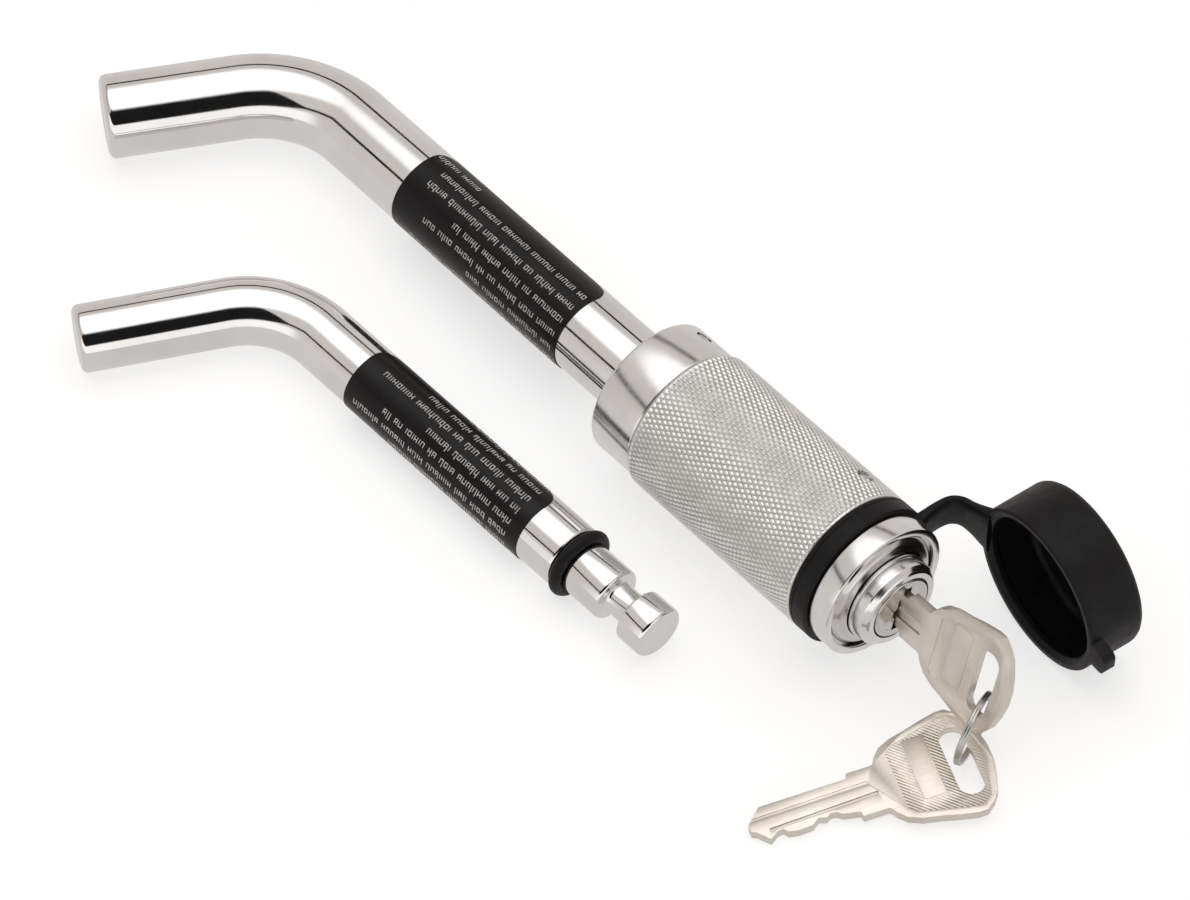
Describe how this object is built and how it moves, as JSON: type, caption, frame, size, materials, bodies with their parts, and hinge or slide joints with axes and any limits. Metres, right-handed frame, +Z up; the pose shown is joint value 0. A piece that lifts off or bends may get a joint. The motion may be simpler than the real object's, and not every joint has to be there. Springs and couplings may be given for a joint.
{
  "type": "hitch pin lock",
  "caption": "Keyed lock head on a bent receiver pin, with a rubber dust cap on a strap, keys on a ring and a thinner spare bent pin.",
  "frame": {"origin": "middle of the footprint, on the table that the lock lies on", "axes": "+X along the receiver pin towards the key end, +Z up"},
  "size_m": [0.2244, 0.1056, 0.0325],
  "materials": {
    "chrome": "polished chrome plate",
    "satin_steel": "satin nickel plate, knurled on the sleeve",
    "steel_hardware": "plain steel",
    "key_metal": "warm nickel plate, fine milling marks",
    "wafer_brass": "stamped brass",
    "black_rubber": "moulded, faint sheen",
    "label_film": "printed film, satin gloss"
  },
  "bodies": {
    "pin": {"receiver_pin": "chrome", "pin_label": "label_film"},
    "pin_seal": {"pin_o_ring": "black_rubber"},
    "lock_head": {"lock_body": "chrome", "knurled_sleeve": "satin_steel", "bezel": "chrome", "face_disc": "satin_steel", "collar_set_screw": "steel_hardware", "sleeve_roll_pin": "steel_hardware", "plunger_spring": "steel_hardware"},
    "plunger": {"plunger_barrel": "chrome", "cam_sleeve": "steel_hardware", "barrel_guide_pin": "steel_hardware"},
    "plug": {"lock_plug": "chrome", "plug_clip": "steel_hardware", "wafer_1": "wafer_brass", "wafer_2": "wafer_brass", "wafer_3": "wafer_brass", "wafer_4": "wafer_brass", "wafer_5": "wafer_brass"},
    "key": {"key": "key_metal"},
    "ball_1": {"locking_ball_1": "steel_hardware"},
    "ball_2": {"locking_ball_2": "steel_hardware"},
    "ball_3": {"locking_ball_3": "steel_hardware"},
    "latch": {"latch_pin": "steel_hardware"},
    "key_ring": {"key_ring": "steel_hardware"},
    "spare_key": {"spare_key": "key_metal"},
    "cap_ring": {"cap_retaining_ring": "black_rubber", "cap_strap": "black_rubber"},
    "cap": {"dust_cap": "black_rubber"},
    "spare_pin": {"spare_pin": "chrome", "spare_pin_label": "label_film", "spare_pin_o_ring": "black_rubber"}
  },
  "joints": [
    {"name": "head_spin", "type": "hinge", "parent": "pin", "child": "pin_seal", "pos_m": [0.01408, 0.01802, 0.01408], "axis": [0.9981, 0, 0.0608], "continuous": true},
    {"name": "head_pull", "type": "slide", "parent": "pin_seal", "child": "lock_head", "axis": [0.9981, 0, 0.0608], "range_m": [0, 0.04]},
    {"name": "plunger_push", "type": "slide", "parent": "lock_head", "child": "plunger", "axis": [-0.9981, 0, -0.0608], "range_m": [0, 0.0045], "stiffness_N_per_m": 400, "springref_m": -0.004, "deforming": ["plunger_spring"]},
    {"name": "key_turn", "type": "hinge", "parent": "plunger", "child": "plug", "pos_m": [0.07297, 0.01802, 0.01767], "axis": [-0.9981, 0, -0.0608], "range_deg": [0, 90]},
    {"name": "key_withdraw", "type": "slide", "parent": "plug", "child": "key", "axis": [0.9981, 0, 0.0608], "range_m": [0, 0.022]},
    {"name": "ball_1_lock", "type": "slide", "parent": "lock_head", "child": "ball_1", "axis": [0.0608, 0, -0.9981], "range_m": [0, 0.00145]},
    {"name": "ball_2_lock", "type": "slide", "parent": "lock_head", "child": "ball_2", "axis": [-0.0304, -0.866, 0.4991], "range_m": [0, 0.00145]},
    {"name": "ball_3_lock", "type": "slide", "parent": "lock_head", "child": "ball_3", "axis": [-0.0304, 0.866, 0.4991], "range_m": [0, 0.00145]},
    {"name": "latch_draw", "type": "slide", "parent": "plunger", "child": "latch", "axis": [0.0608, 0, -0.9981], "range_m": [0, 0.0006]},
    {"name": "ring_swing", "type": "hinge", "parent": "key", "child": "key_ring", "pos_m": [0.09976, 0.01613, 0.0132], "axis": [-0.0184, -0.9532, 0.3018], "range_deg": [-4, 4]},
    {"name": "spare_key_swing", "type": "hinge", "parent": "key_ring", "child": "spare_key", "pos_m": [0.09926, 0.01503, 0.0029], "axis": [0, 0, 1], "range_deg": [-4, 4]},
    {"name": "cap_ring_turn", "type": "hinge", "parent": "lock_head", "child": "cap_ring", "pos_m": [0.06618, 0.01802, 0.01726], "axis": [0.9981, 0, 0.0608], "range_deg": [0, 110]},
    {"name": "cap_swing", "type": "hinge", "parent": "cap_ring", "child": "cap", "pos_m": [0.06766, 0.03932, 0.0163], "axis": [0, 0, 1], "range_deg": [-15, 60], "deforming": ["cap_strap"]},
    {"name": "spare_pin_lift", "type": "slide", "parent": "pin", "child": "spare_pin", "axis": [0, 0, 1], "range_m": [0, 0.08]}
  ],
  "couplings": [
    {"joint": "ball_1_lock", "follows": "plunger_push", "ratio": 0.3222},
    {"joint": "ball_2_lock", "follows": "plunger_push", "ratio": 0.3222},
    {"joint": "ball_3_lock", "follows": "plunger_push", "ratio": 0.3222},
    {"joint": "latch_draw", "follows": "key_turn", "m_per_rad": 0.00035}
  ]
}
